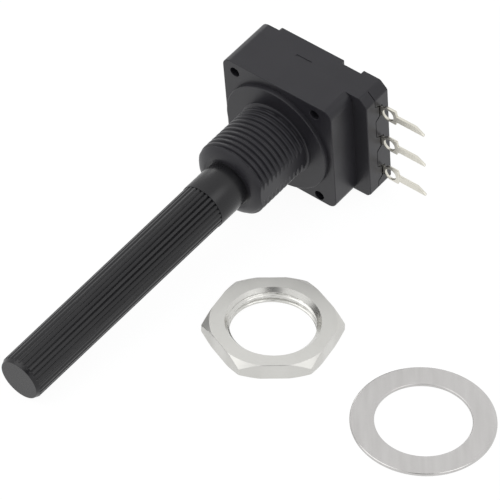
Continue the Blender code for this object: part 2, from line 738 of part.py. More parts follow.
def make_nut(table):
    corner = NUT_ACROSS_FLATS / math.sqrt(3)
    face = NUT_ACROSS_FLATS / 2 - NUT_LAND
    slope = (corner - face) / NUT_CHAMFER
    minor = THREAD_RADIUS - THREAD_DEPTH + RUNNING_GAP
    mouth = minor + NUT_COUNTERSINK
    nut = extruded([circle(corner, 6)], 0.0, NUT_THICKNESS, UPWARD)
    nut.location = (NUT_TO_RIGHT, -NUT_TO_FRONT, NUT_THICKNESS / 2)
    nut.rotation_euler = (0.0, 0.0, NUT_YAW)
    finish_piece(nut, "mounting_nut", PLATED_STEEL, table)
    envelope = [
        (0.0, NUT_THICKNESS + OVERLAP),
        (face - OVERLAP * slope, NUT_THICKNESS + OVERLAP),
        (corner + OVERLAP * slope, NUT_THICKNESS - NUT_CHAMFER - OVERLAP),
        (corner + OVERLAP * slope, NUT_CHAMFER + OVERLAP),
        (face - OVERLAP * slope, -OVERLAP),
        (0.0, -OVERLAP),
    ]
    bore = [
        (0.0, NUT_THICKNESS + OVERLAP),
        (mouth + OVERLAP, NUT_THICKNESS + OVERLAP),
        (minor, NUT_THICKNESS - NUT_COUNTERSINK),
        (minor, NUT_COUNTERSINK),
        (mouth + OVERLAP, -OVERLAP),
        (0.0, -OVERLAP),
    ]
    place = (NUT_TO_RIGHT, -NUT_TO_FRONT, 0.0)
    combine(nut, turned(envelope, FINE_SEGMENTS, place=place, turn=UPWARD), "INTERSECT", "chamfer")
    combine(nut, turned(bore, FINE_SEGMENTS, place=place, turn=UPWARD), "DIFFERENCE", "bore")


def make_washer(table):
    outlines = [
        circle(WASHER_RADIUS, FINE_SEGMENTS),
        circle(THREAD_RADIUS + WASHER_HOLE_PLAY, FINE_SEGMENTS),
    ]
    place = (WASHER_TO_RIGHT, -WASHER_TO_FRONT, 0.0)
    washer = extruded(outlines, 0.0, WASHER_THICKNESS, UPWARD, place=place)
    finish_piece(washer, "flat_washer", PLATED_STEEL, table)


def rest_on_table(encoder):
    """Tips the encoder until the panel face's bottom edge and the shaft's tip both touch the table."""
    tip_reach = SHAFT_TIP - TIP_CHAMFER
    tilt = math.atan2(-BOTTOM - TIP_RADIUS, tip_reach)
    encoder.rotation_euler = (tilt, 0.0, 0.0)
    encoder.location = (0.0, 0.0, -BOTTOM * math.cos(tilt))


def centre_on_origin(table):
    """Moves everything so that the origin lies under the middle of the whole set, on the table."""
    bpy.context.view_layer.update()
    depsgraph = bpy.context.evaluated_depsgraph_get()
    points = []
    for obj in PARTS.objects:
        if obj.type == "MESH":
            evaluated = obj.evaluated_get(depsgraph)
            points += [evaluated.matrix_world @ vertex.co for vertex in evaluated.data.vertices]
    for axis in (0, 1):
        reach = [point[axis] for point in points]
        table.location[axis] = -(min(reach) + max(reach)) / 2


clear_scene()
PARTS = make_collection("rotary_encoder")
CUTTERS = make_collection("cutters")
TABLE = make_empty("table")
ENCODER = make_empty("encoder", TABLE)
SPINDLE = make_empty("spindle", ENCODER)
make_housing(ENCODER)
make_rear_cover(ENCODER)
make_shaft(SPINDLE)
make_turning_stack(SPINDLE)
make_detent_spring(ENCODER)
make_contact_base(ENCODER)
make_contacts(ENCODER)
make_nut(TABLE)
make_washer(TABLE)
rest_on_table(ENCODER)
centre_on_origin(TABLE)
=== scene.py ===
"""Looks of a panel-mount rotary encoder with its loose nut and washer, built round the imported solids.

The encoder's pieces are made in millimetres in its own frame: the panel face at depth 0, the shaft
axis along Y, depth growing into the body and the lugs on +X. The nut and the washer are made about
their own axes.
"""

import json
import math

import bmesh
import bpy
from mathutils import Matrix, Vector


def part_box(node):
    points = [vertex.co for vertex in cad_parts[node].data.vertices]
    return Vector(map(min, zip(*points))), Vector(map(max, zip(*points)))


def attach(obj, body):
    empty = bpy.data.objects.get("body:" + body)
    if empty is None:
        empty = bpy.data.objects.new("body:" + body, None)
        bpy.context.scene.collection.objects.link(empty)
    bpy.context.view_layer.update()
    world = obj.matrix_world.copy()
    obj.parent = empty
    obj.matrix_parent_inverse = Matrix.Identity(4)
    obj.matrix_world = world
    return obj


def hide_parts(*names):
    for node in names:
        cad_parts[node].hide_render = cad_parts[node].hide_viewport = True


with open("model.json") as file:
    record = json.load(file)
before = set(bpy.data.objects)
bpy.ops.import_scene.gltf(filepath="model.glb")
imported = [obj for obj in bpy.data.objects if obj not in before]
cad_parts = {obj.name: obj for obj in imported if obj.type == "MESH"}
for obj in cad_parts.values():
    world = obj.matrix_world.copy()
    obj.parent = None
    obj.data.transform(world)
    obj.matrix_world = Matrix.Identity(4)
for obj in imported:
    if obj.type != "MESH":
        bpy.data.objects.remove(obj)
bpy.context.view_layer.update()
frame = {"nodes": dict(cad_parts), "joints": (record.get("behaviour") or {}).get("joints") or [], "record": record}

MM = 0.001

# Reach of a cut past a face, and the distances and angles for merging and shading
CUT_PAST = 0.3
TOUCH = 0.01
MERGE = 0.001
FLAT_ANGLE = math.radians(0.5)
HARD_ANGLE = math.radians(25)
SHARP_ANGLE = math.radians(40)
EASED_SHARP_ANGLE = math.radians(50)
SHAFT_SHARP_ANGLE = math.radians(35)
NUT_SHARP_ANGLE = math.radians(14)
FACE_WEIGHT = 90
ROUND_SHARE = 0.3

# Segments of the round forms
BORE_SEGMENTS = 96
HOLE_SEGMENTS = 32
EYE_SEGMENTS = 48
RIVET_SEGMENTS = 24
WASHER_SEGMENTS = 200
CARD_SEGMENTS = 48
EDGE_STEPS = 4
EDGE_SEGMENTS = 3
SMALL_EDGE_SEGMENTS = 2

# Body moulding, in millimetres
BODY_LEFT = -7.86
BODY_RIGHT = 8.14
BODY_BOTTOM = -7.71
BODY_TOP = 8.29
BODY_CORNER = 1.2
FRONT_WALL = 1.2
CAVITY_RADIUS = 6.61
SEAM = 5.40
SEAM_HAIRLINE = 0.002
BLOCK_SEAM = 0.09
BODY_EDGE = 0.10
EASED_FROM_SEAM = 0.35
OUTSIDE_MARGIN = 0.2
SHELL_BORE_MARGIN = 0.3
COVER_EDGE = 0.05

# Corner holes of the housing and the cover posts in them
HOLE_RADIUS = 0.65
HOLE_X = (-6.08, 5.65)
HOLE_Z = (-6.80, 6.80)
HOLE_EDGE = 0.05
HOLE_MARGIN = 0.1
POST_RADIUS = 0.55
POST_SETBACK = 1.2

# Slits in the cavity wall for the feet of the detent spring
SLIT_TURN = math.radians(45)
SLIT_HALF = 0.225
SLIT_INWARD = 0.4
SLIT_OUTWARD = 0.9
SLIT_FRONT = 1.5

# Slot in the top edge where the mouldings are prised apart
PRY_LEFT = -1.05
PRY_RIGHT = 1.15
PRY_FRONT = 5.10
PRY_DEPTH = 0.07

# Terminal block
BLOCK_FRONT = 3.9
BLOCK_END = 10.24
BLOCK_TOP_CHAMFER = 1.0
BLOCK_BOTTOM_CHAMFER = 0.5
BLOCK_SOFTENING = 0.22
TONGUE_BASE = 2.45
TONGUE_TIP = 1.45
TONGUE_REACH = 6.15
TONGUE_ROOT_X = 7.54
TONGUE_ROOT_DEPTH = 0.4
TONGUE_SHORT = 0.03
TONGUE_GAP = 0.1

# Rear cover
COVER_RECESS_RADIUS = 7.06
COVER_FLOOR = 6.75
COVER_REAR = 7.28
PAD_REAR = 7.82
PAD_LEFT = -5.36
PAD_RIGHT = 3.98
BAR_LEFT = 6.84
LUG_SLOT_HALF = 0.75
PAD_ROOT = 0.25
RIVET_POCKET_RADIUS = 0.7
RIVET_POCKET_DEPTH = 0.28
SEAM_CUT_PAST = 1
EASED_PAST_FLOOR = 0.4

# Boss, thread and end of the bushing
BOSS_RADIUS = 7.35
BOSS_HEIGHT = 0.6
BOSS_EDGE = 0.10
BOSS_MARGIN = 0.08
BUSHING_BACK = -0.9
BUSHING_LENGTH = 9.45
COLLAR_RADIUS = 5.06
COLLAR_LENGTH = 0.15
COLLAR_EDGE = 0.06
THREAD_RADIUS = 4.91
THREAD_PITCH = 0.75
THREAD_DEPTH = 0.32
THREAD_DEPTH_AT_FLAT = 0.24
THREAD_FADE = math.radians(14)
THREAD_CREST_AT = 0.57
THREAD_CREST_ANGLE = math.radians(40)
THREAD_CREST_SHARE = 0.12
THREAD_FLANK_SHARE = 0.30
THREAD_SAMPLES = 18
FOLLOW_IN = 7
FOLLOW_OUT = 12
ARC_COLUMNS = 60
FLAT_COLUMNS = 16
FLAT_LIP = math.radians(0.5)
LEAD_IN = 0.76
LEAD_DROP = 1.42
LEAD_BEND = 1.5
LEAD_STEPS = 20
FLAT_HALF = 4.6
BORE_RADIUS = 3.04
MOUTH_RADIUS = 3.44
MOUTH_DEPTH = 0.04
MOUTH_LIP_OUT = 0.04
MOUTH_LIP_IN = 0.03
MOUTH_LIP_DROP = 0.01

# Shaft
SHAFT_RADIUS = 2.97
WAIST_RADIUS = 2.88
WAIST_BOTTOM = 9.40
WAIST_BEND = 9.5
LAND_RADIUS = 3.03
LAND_BACK = 8.9
WAIST_STEPS = 8
NECK_START = 10.9
NECK_END = 14.05
NECK_EDGE = 0.05
SHAFT_TIP = 45.75
TIP_FACE_RADIUS = 2.58
TIP_ROUND = 0.05
TIP_CHAMFER = 0.55
TIP_OVERLAP = 0.02
TIP_STEPS = 12
FLUTED_RADIUS = 2.91
TIP_RADIUS = 2.81
FLUTE_COUNT = 30
FLUTE_DEPTH_NECK = 0.18
FLUTE_DEPTH_TIP = 0.13
FLUTE_SHARE = 0.62
FLUTE_PHASE = math.radians(4.5)
FLUTE_SAMPLES = 10
FLUTED_STEPS = 24
SHOULDER = -1.55
DRIVE_RADIUS = 2.5
DRIVE_FLAT = 2.0
DRIVE_END = -4.15
SPIGOT_RADIUS = 1.2
SPIGOT_END = -6.05

# Solder lugs
LUG_PITCH = 5.0
LUG_FRONT = 6.28
LUG_REAR = 6.60
OUTER_RIVET_X = 2.584
COMMON_RIVET_X = 5.3
RIVET_HOLE = 0.45
STRIP_HALF = 0.65
STRIP_END = 0.7
TAB_HALF = 1.05
TAB_LENGTH = 2.22
EYE_RADIUS = 0.76
EYE_FROM_BLOCK = 1.15
EYE_DROP = 0.06
SHOULDER_LENGTH = 0.16
PIN_ABOVE = 0.35
PIN_BELOW = 0.55
PIN_LENGTH = 3.85
PIN_POINT = 1.15
PIN_TIP_ABOVE = -0.36
LUG_EDGE = 0.05
LUG_ARC_STEPS = 10

# Nut and washer
NUT_ACROSS_FLATS = 14.1
NUT_THICKNESS = 2.1
NUT_FACE_RADIUS = 7.20
NUT_CHAMFER = 0.67
NUT_CORNER_TRIM = 0.05
NUT_MINOR = 4.93
NUT_THREAD_DEPTH = 0.30
NUT_COUNTERSINK = 0.55
NUT_MOUTH_SLOPE = 1.15
NUT_BACK_COUNTERSINK = 0.18
NUT_YAW = math.radians(-19.5)
NUT_EDGE = 0.04
NUT_MOUTH_MARGIN = 0.05
NUT_BACK_MARGIN = 0.1
NUT_COLUMNS = 18
NUT_THREAD_SAMPLES = 20
WASHER_RADIUS = 8.15
WASHER_HOLE = 5.42
WASHER_THICKNESS = 0.45
WASHER_EDGE = 0.18
WASHER_YAW = math.radians(38.6)

# Rings about an axis where plating changes: none at one radius, all at another, and the added roughness
NUT_BORE_RING = (0.0054, 0.0056, 0.05)
NUT_CORNER_RING = (0.00710, 0.00725, 0.14)
WASHER_RIM_RING = (0.00795, 0.0080, -0.20)

# Noise in the materials: the part of its range that is used, patches per metre and the grain's height
NOISE_LOW = 0.3
NOISE_HIGH = 0.7
PLASTIC_PATCHES = 260.0
METAL_PATCHES = 180.0
GRAIN_HEIGHT = 0.00001

# Room, floor and card, in metres
WHITE = (1.0, 1.0, 1.0, 1.0)
WHITE_LEVEL = 1.0
ROOM_TINT = (0.97, 0.98, 1.0, 1.0)
ROOM_LEVEL = 0.55
FLOOR_SIDE = 2.0
FLOOR_HEIGHT = -0.00002
FLOOR_LIT = (0.8, 0.8, 0.8, 1.0)
FLOOR_SHADE = (0.1, 0.1, 0.1, 1.0)
FLOOR_GLOW = 0.95
CARD_DISTANCE = 0.9
CARD_RADIUS = 0.24
CARD_COLOUR = (0.03, 0.03, 0.03, 1.0)
CARD_ROUGHNESS = 0.9

# Lamps: name, place, size and power
LAMPS = [
    ("key", (-0.329, -0.3075, 0.604), 0.60, 0.90),
    ("side", (0.45, 0.045, 0.585), 0.42, 0.55),
    ("rim", (-0.59, 0.46, 0.32), 0.30, 0.32),
]

# Camera, solved from the photograph
VIEW_AZIMUTH = math.radians(38.614)
VIEW_ELEVATION = math.radians(43.609)
VIEW_ROLL = math.radians(0.76)
VIEW_TARGET = Vector((-0.0138, 0.0075405, 0.0))
VIEW_DISTANCE = 0.4
VIEW_LENS = 249.25
SENSOR_WIDTH = 36.0

VIEW_BACK = Vector(
    (
        math.sin(VIEW_AZIMUTH) * math.cos(VIEW_ELEVATION),
        -math.cos(VIEW_AZIMUTH) * math.cos(VIEW_ELEVATION),
        math.sin(VIEW_ELEVATION),
    )
)

SCENE = bpy.context.scene
TURN = 2 * math.pi


def settle(mesh, sharp=SHARP_ANGLE):
    """Turns the faces outward, and smooths all but the hard edges."""
    cage = bmesh.new()
    cage.from_mesh(mesh)
    bmesh.ops.recalc_face_normals(cage, faces=cage.faces)
    cage.to_mesh(mesh)
    cage.free()
    mesh.shade_smooth()
    mesh.set_sharp_from_angle(angle=sharp)
    return mesh


def skinned(rows, loop=False, sharp=SHARP_ANGLE):
    """Mesh over rings of points. In a loop the last joins the first, or else both ends are capped."""
    count = len(rows[0])
    points = [point for row in rows for point in row]
    faces = []
    for index in range(len(rows) if loop else len(rows) - 1):
        start = index * count
        following = (index + 1) % len(rows) * count
        for column in range(count):
            after = (column + 1) % count
            faces.append((start + column, start + after, following + after, following + column))
    if not loop:
        faces.append(tuple(range(count)))
        faces.append(tuple(range(len(points) - count, len(points))))
    mesh = bpy.data.meshes.new("skinned")
    mesh.from_pydata(points, [], faces)
    return settle(mesh, sharp)


def slab(outline, axis, start, end):
    """Solid with a flat outline, standing along one axis between two places."""
    rows = []
    for place in (start, end):
        if axis == "X":
            rows.append([(place, first, second) for first, second in outline])
        else:
            rows.append([(first, place, second) for first, second in outline])
    return skinned(rows)


def arc(radius, start, end, steps, centre=(0.0, 0.0)):
    points = []
    for step in range(steps + 1):
        angle = start + (end - start) * step / steps
        points.append((centre[0] + radius * math.cos(angle), centre[1] + radius * math.sin(angle)))
    return points


def circle(radius, segments, centre=(0.0, 0.0)):
    return arc(radius, 0.0, TURN, segments, centre)[:-1]


def rounded_rectangle(left, bottom, right, top, radius, steps=10):
    corners = [
        (right - radius, top - radius),
        (left + radius, top - radius),
        (left + radius, bottom + radius),
        (right - radius, bottom + radius),
    ]
    points = []
    for index, centre in enumerate(corners):
        start = index * TURN / 4
        points += arc(radius, start, start + TURN / 4, steps, centre)
    return points


def combined(base, steps):
    """Applies Booleans to a mesh, each step an operation and a mesh, and returns the result."""
    target = bpy.data.objects.new("base", base)
    SCENE.collection.objects.link(target)
    tools = []
    for operation, mesh in steps:
        tool = bpy.data.objects.new("tool", mesh)
        SCENE.collection.objects.link(tool)
        tools.append(tool)
        boolean = target.modifiers.new("step", "BOOLEAN")
        boolean.operation = operation
        boolean.solver = "EXACT"
        boolean.object = tool
    bpy.context.view_layer.update()
    evaluated = target.evaluated_get(bpy.context.evaluated_depsgraph_get())
    result = bpy.data.meshes.new_from_object(evaluated)
    for obj in [target] + tools:
        mesh = obj.data
        bpy.data.objects.remove(obj)
        bpy.data.meshes.remove(mesh)
    return result


def eased(mesh, rounds, sharp=EASED_SHARP_ANGLE):
    """Rounds the convex hard edges that a test picks. A round is a test, a width and its segments."""
    cage = bmesh.new()
    cage.from_mesh(mesh)
    bmesh.ops.remove_doubles(cage, verts=cage.verts, dist=MERGE)
    bmesh.ops.dissolve_limit(cage, angle_limit=FLAT_ANGLE, verts=cage.verts, edges=cage.edges)
    for test, width, segments in rounds:
        picked = []
        for edge in cage.edges:
            if len(edge.link_faces) != 2:
                continue
            middle = (edge.verts[0].co + edge.verts[1].co) / 2
            if edge.calc_face_angle_signed() > HARD_ANGLE and test(middle):
                picked.append(edge)
        bmesh.ops.bevel(
            cage,
            geom=picked,
            offset=width,
            offset_type="OFFSET",
            segments=segments,
            profile=0.5,
            affect="EDGES",
            clamp_overlap=False,
        )
    cage.to_mesh(mesh)
    cage.free()
    return settle(mesh, sharp)


def make_piece(name, mesh, place, body, material, slot, nodes, weighted=False):
    """Puts a mesh in the scene in metres, on a body, in place of its CAD nodes."""
    mesh.name = name
    mesh.transform(Matrix.Scale(MM, 4))
    mesh.materials.clear()
    mesh.materials.append(material)
    obj = bpy.data.objects.new(name, mesh)
    SCENE.collection.objects.link(obj)
    obj.matrix_world = place
    if weighted:
        normals = obj.modifiers.new("normals", "WEIGHTED_NORMAL")
        normals.keep_sharp = True
        normals.weight = FACE_WEIGHT
    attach(obj, body)
    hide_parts(*nodes)
    return obj


def body_outline():
    return rounded_rectangle(BODY_LEFT, BODY_BOTTOM, BODY_RIGHT, BODY_TOP, BODY_CORNER)


def softened(points, reach, steps=5):
    """Outline whose inner points become bends that begin a reach before and end a reach after them."""
    result = [points[0]]
    for before, corner, after in zip(points, points[1:], points[2:]):
        corner = Vector(corner)
        start = corner + (Vector(before) - corner).normalized() * reach
        end = corner + (Vector(after) - corner).normalized() * reach
        for step in range(steps + 1):
            share = step / steps
            result.append(tuple(start.lerp(corner, share).lerp(corner.lerp(end, share), share)))
    return result + [points[-1]]


def block_outline(inner):
    corners = [
        (inner, BODY_BOTTOM),
        (BLOCK_END - BLOCK_BOTTOM_CHAMFER, BODY_BOTTOM),
        (BLOCK_END, BODY_BOTTOM + BLOCK_BOTTOM_CHAMFER),
        (BLOCK_END, BODY_TOP - BLOCK_TOP_CHAMFER),
        (BLOCK_END - BLOCK_TOP_CHAMFER, BODY_TOP),
        (inner, BODY_TOP),
    ]
    return softened(corners, BLOCK_SOFTENING)


LUGS = [
    ("a", LUG_PITCH, OUTER_RIVET_X),
    ("common", 0.0, COMMON_RIVET_X),
    ("b", -LUG_PITCH, OUTER_RIVET_X),
]
HOLES = [(x, z) for x in HOLE_X for z in HOLE_Z]


def near_hole(point):
    return any(math.hypot(point.x - x, point.z - z) < HOLE_RADIUS + HOLE_MARGIN for x, z in HOLES)


def outside(point):
    """On the outer faces, clear of the cavity, the bore and the corner holes."""
    clear = math.hypot(point.x, point.z) > COVER_RECESS_RADIUS + OUTSIDE_MARGIN
    return clear and not near_hole(point)


def spring_slit(side):
    """Slit in the cavity wall for one foot of the detent spring."""
    angle = TURN / 4 + side * SLIT_TURN
    along = Vector((math.cos(angle), math.sin(angle)))
    across = Vector((-along.y, along.x)) * SLIT_HALF
    inner = along * (CAVITY_RADIUS - SLIT_INWARD)
    outer = along * (CAVITY_RADIUS + SLIT_OUTWARD)
    return [inner - across, outer - across, outer + across, inner + across]


def housing_shell():
    inner = BODY_RIGHT - BODY_CORNER
    steps = [("UNION", slab(block_outline(inner), "Y", BLOCK_FRONT, SEAM))]
    for _, z, _ in LUGS:
        tongue = [
            (SEAM - TONGUE_ROOT_DEPTH, z - TONGUE_BASE / 2),
            (SEAM, z - TONGUE_BASE / 2),
            (TONGUE_REACH, z - TONGUE_TIP / 2),
            (TONGUE_REACH, z + TONGUE_TIP / 2),
            (SEAM, z + TONGUE_BASE / 2),
            (SEAM - TONGUE_ROOT_DEPTH, z + TONGUE_BASE / 2),
        ]
        steps.append(("UNION", slab(tongue, "X", TONGUE_ROOT_X, BLOCK_END - TONGUE_SHORT)))
    cavity = circle(CAVITY_RADIUS, BORE_SEGMENTS)
    bore = circle(BORE_RADIUS + SHELL_BORE_MARGIN, BORE_SEGMENTS)
    cut_end = SEAM + CUT_PAST
    steps.append(("DIFFERENCE", slab(cavity, "Y", FRONT_WALL, cut_end)))
    steps.append(("DIFFERENCE", slab(bore, "Y", -CUT_PAST, FRONT_WALL + CUT_PAST)))
    for place in HOLES:
        hole = circle(HOLE_RADIUS, HOLE_SEGMENTS, place)
        steps.append(("DIFFERENCE", slab(hole, "Y", -CUT_PAST, cut_end)))
    for side in (-1, 1):
        steps.append(("DIFFERENCE", slab(spring_slit(side), "Y", SLIT_FRONT, cut_end)))
    pry = [
        (PRY_LEFT, BODY_TOP - PRY_DEPTH),
        (PRY_RIGHT, BODY_TOP - PRY_DEPTH),
        (PRY_RIGHT, BODY_TOP + CUT_PAST),
        (PRY_LEFT, BODY_TOP + CUT_PAST),
    ]
    steps.append(("DIFFERENCE", slab(pry, "Y", PRY_FRONT, cut_end)))
    mesh = combined(slab(body_outline(), "Y", 0.0, SEAM), steps)
    rounds = [
        (lambda p: outside(p) and p.y < SEAM - EASED_FROM_SEAM, BODY_EDGE, EDGE_SEGMENTS),
        (lambda p: near_hole(p) and p.y < TOUCH, HOLE_EDGE, SMALL_EDGE_SEGMENTS),
    ]
    return eased(mesh, rounds)


def cover_shell():
    front = SEAM + SEAM_HAIRLINE
    inner = BODY_RIGHT - BODY_CORNER
    pad = [
        (PAD_RIGHT, BODY_TOP),
        (PAD_LEFT, BODY_TOP),
        (PAD_LEFT, BODY_BOTTOM),
        (PAD_RIGHT, BODY_BOTTOM),
    ]
    pad = softened(pad, BODY_CORNER / 3)
    cut_start = front - CUT_PAST
    seam_cut = [
        (cut_start, BODY_BOTTOM - SEAM_CUT_PAST),
        (SEAM + BLOCK_SEAM, BODY_BOTTOM - SEAM_CUT_PAST),
        (SEAM + BLOCK_SEAM, BODY_TOP + SEAM_CUT_PAST),
        (cut_start, BODY_TOP + SEAM_CUT_PAST),
    ]
    recess = circle(COVER_RECESS_RADIUS, BORE_SEGMENTS)
    block_cut_end = BLOCK_END + CUT_PAST
    steps = [
        ("UNION", slab(block_outline(inner), "Y", front, COVER_REAR)),
        ("UNION", slab(pad, "Y", COVER_REAR - PAD_ROOT, PAD_REAR)),
        ("UNION", slab(block_outline(BAR_LEFT), "Y", COVER_REAR - PAD_ROOT, PAD_REAR)),
        ("DIFFERENCE", slab(recess, "Y", cut_start, COVER_FLOOR)),
        ("DIFFERENCE", slab(seam_cut, "X", BLOCK_END - BLOCK_TOP_CHAMFER, block_cut_end)),
    ]
    base_half = TONGUE_BASE / 2 + TONGUE_GAP
    tip_half = TONGUE_TIP / 2 + TONGUE_GAP
    for _, z, rivet_x in LUGS:
        channel = [
            (cut_start, z - base_half),
            (front, z - base_half),
            (LUG_FRONT, z - tip_half),
            (LUG_FRONT, z - LUG_SLOT_HALF),
            (COVER_FLOOR, z - LUG_SLOT_HALF),
            (COVER_FLOOR, z + LUG_SLOT_HALF),
            (LUG_FRONT, z + LUG_SLOT_HALF),
            (LUG_FRONT, z + tip_half),
            (front, z + base_half),
            (cut_start, z + base_half),
        ]
        steps.append(("DIFFERENCE", slab(channel, "X", rivet_x, block_cut_end)))
        pocket = circle(RIVET_POCKET_RADIUS, RIVET_SEGMENTS, (rivet_x, z))
        pocket_end = COVER_FLOOR + RIVET_POCKET_DEPTH
        steps.append(("DIFFERENCE", slab(pocket, "Y", COVER_FLOOR - CUT_PAST, pocket_end)))
    for place in HOLES:
        post = circle(POST_RADIUS, HOLE_SEGMENTS, place)
        steps.append(("UNION", slab(post, "Y", POST_SETBACK, COVER_FLOOR)))
    mesh = combined(slab(body_outline(), "Y", front, COVER_REAR), steps)
    rounds = [
        (lambda p: p.y > COVER_FLOOR + EASED_PAST_FLOOR, COVER_EDGE, EDGE_SEGMENTS),
        (lambda p: near_hole(p) and p.y < POST_SETBACK + TOUCH, HOLE_EDGE, SMALL_EDGE_SEGMENTS),
    ]
    return eased(mesh, rounds)


def smooth_step(share):
    share = max(0.0, min(1.0, share))
    return share * share * (3 - 2 * share)


def thread_drop(turns):
    """Share of the thread's depth below its crest, from the turns past a crest."""
    phase = turns % 1.0
    away = min(phase, 1.0 - phase)
    return smooth_step((away - THREAD_CREST_SHARE) / THREAD_FLANK_SHARE)


def bushing_columns():
    """Angles round the bushing, each with the middle angle of its flat, or none on the threaded arcs.

    The third number is how many turns the rows run ahead there, to follow the thread, and each flat
    leads back. The fourth is the depth of the thread, which is less at the flats.
    """
    edge = math.acos(FLAT_HALF / THREAD_RADIUS)
    half = TURN / 4 - edge - FLAT_LIP
    columns = []
    for middle in (0.0, TURN / 2):
        for step in range(2 * FLAT_COLUMNS + 1):
            share = step / FLAT_COLUMNS - 1
            lead = -share * half / TURN
            columns.append((middle + edge * share, middle, lead, THREAD_DEPTH_AT_FLAT))
        for step in range(2 * ARC_COLUMNS + 1):
            share = step / ARC_COLUMNS - 1
            fade = smooth_step((1 - abs(share)) * half / THREAD_FADE)
            depth = THREAD_DEPTH_AT_FLAT + (THREAD_DEPTH - THREAD_DEPTH_AT_FLAT) * fade
            columns.append((middle + TURN / 4 + half * share, None, share * half / TURN, depth))
    return columns


def bushing_row(forward, reach):
    row = []
    for angle, *_ in bushing_columns():
        row.append((reach * math.cos(angle), -forward, reach * math.sin(angle)))
    return row


def thread_row(forward, reach, follow):
    """Ring of the threaded part, on which the rows follow the thread by a share."""
    row = []
    for angle, middle, lead, depth in bushing_columns():
        place = forward + lead * THREAD_PITCH * follow
        turns = (place - THREAD_CREST_AT) / THREAD_PITCH - (angle - THREAD_CREST_ANGLE) / TURN
        radius = min(reach, THREAD_RADIUS - depth * thread_drop(turns))
        if middle is not None:
            radius = min(radius, FLAT_HALF / math.cos(angle - middle))
        row.append((radius * math.cos(angle), -place, radius * math.sin(angle)))
    return row


def bushing_ring():
    """Boss, collar, thread, lead-in, end face and bore in one closed ring."""
    rows = [bushing_row(BUSHING_BACK, BOSS_RADIUS)]
    bend = (BOSS_RADIUS - BOSS_EDGE, BOSS_HEIGHT - BOSS_EDGE)
    for radius, forward in arc(BOSS_EDGE, 0.0, TURN / 4, EDGE_STEPS, bend):
        rows.append(bushing_row(forward, radius))
    rows.append(bushing_row(BOSS_HEIGHT, BOSS_RADIUS - BOSS_EDGE - BOSS_MARGIN))
    thread_start = BOSS_HEIGHT + COLLAR_LENGTH
    rows.append(bushing_row(BOSS_HEIGHT, COLLAR_RADIUS))
    rows.append(bushing_row(thread_start - COLLAR_EDGE, COLLAR_RADIUS))
    rows.append(bushing_row(thread_start, COLLAR_RADIUS - COLLAR_EDGE))
    lead_start = BUSHING_LENGTH - LEAD_IN
    steps = round((lead_start - thread_start) / THREAD_PITCH * THREAD_SAMPLES)
    for step in range(1, steps):
        share = step / steps
        forward = thread_start + (lead_start - thread_start) * share
        follow = min(1.0, share * FOLLOW_IN, (1 - share) * FOLLOW_OUT)
        rows.append(thread_row(forward, THREAD_RADIUS, follow))
    for along, across in arc(1.0, 0.0, TURN / 4, LEAD_STEPS):
        forward = lead_start + LEAD_IN * across ** (2 / LEAD_BEND)
        reach = THREAD_RADIUS - LEAD_DROP * (1 - max(along, 0.0) ** (2 / LEAD_BEND))
        rows.append(thread_row(forward, reach, 0.0))
    rows.append(bushing_row(BUSHING_LENGTH, MOUTH_RADIUS + MOUTH_LIP_OUT))
    rows.append(bushing_row(BUSHING_LENGTH - MOUTH_LIP_DROP, MOUTH_RADIUS - MOUTH_LIP_IN))
    rows.append(bushing_row(BUSHING_LENGTH - MOUTH_DEPTH, BORE_RADIUS))
    rows.append(bushing_row(BUSHING_BACK, BORE_RADIUS))
    return skinned(rows, loop=True)


def flute_columns():
    """Angles round the shaft, each with the share of the flute's depth there."""
    pitch = TURN / FLUTE_COUNT
    columns = []
    for index in range(FLUTE_COUNT * FLUTE_SAMPLES):
        offset = (index / FLUTE_SAMPLES + 0.5) % 1.0 - 0.5
        share = min(1.0, abs(offset) / (FLUTE_SHARE / 2))
        angle = FLUTE_PHASE + index / FLUTE_SAMPLES * pitch
        columns.append((angle, (1 + math.cos(share * TURN / 2)) / 2))
    return columns


def along_flutes(forward):
    return (forward - NECK_END) / (SHAFT_TIP - NECK_END)


def flute_depth(forward):
    return FLUTE_DEPTH_NECK + (FLUTE_DEPTH_TIP - FLUTE_DEPTH_NECK) * along_flutes(forward)


def shaft_row(forward, reach, flute=None, flat=None):
    """One ring of the shaft: inside a reach, with a fluted radius, or with two flats."""
    row = []
    for angle, share in flute_columns():
        radius = reach if flute is None else min(reach, flute - flute_depth(forward) * share)
        z = radius * math.sin(angle)
        if flat is not None:
            z = max(-flat, min(flat, z))
        row.append((radius * math.cos(angle), -forward, z))
    return row


def fluted_radius(forward):
    return FLUTED_RADIUS + (TIP_RADIUS - FLUTED_RADIUS) * along_flutes(forward)


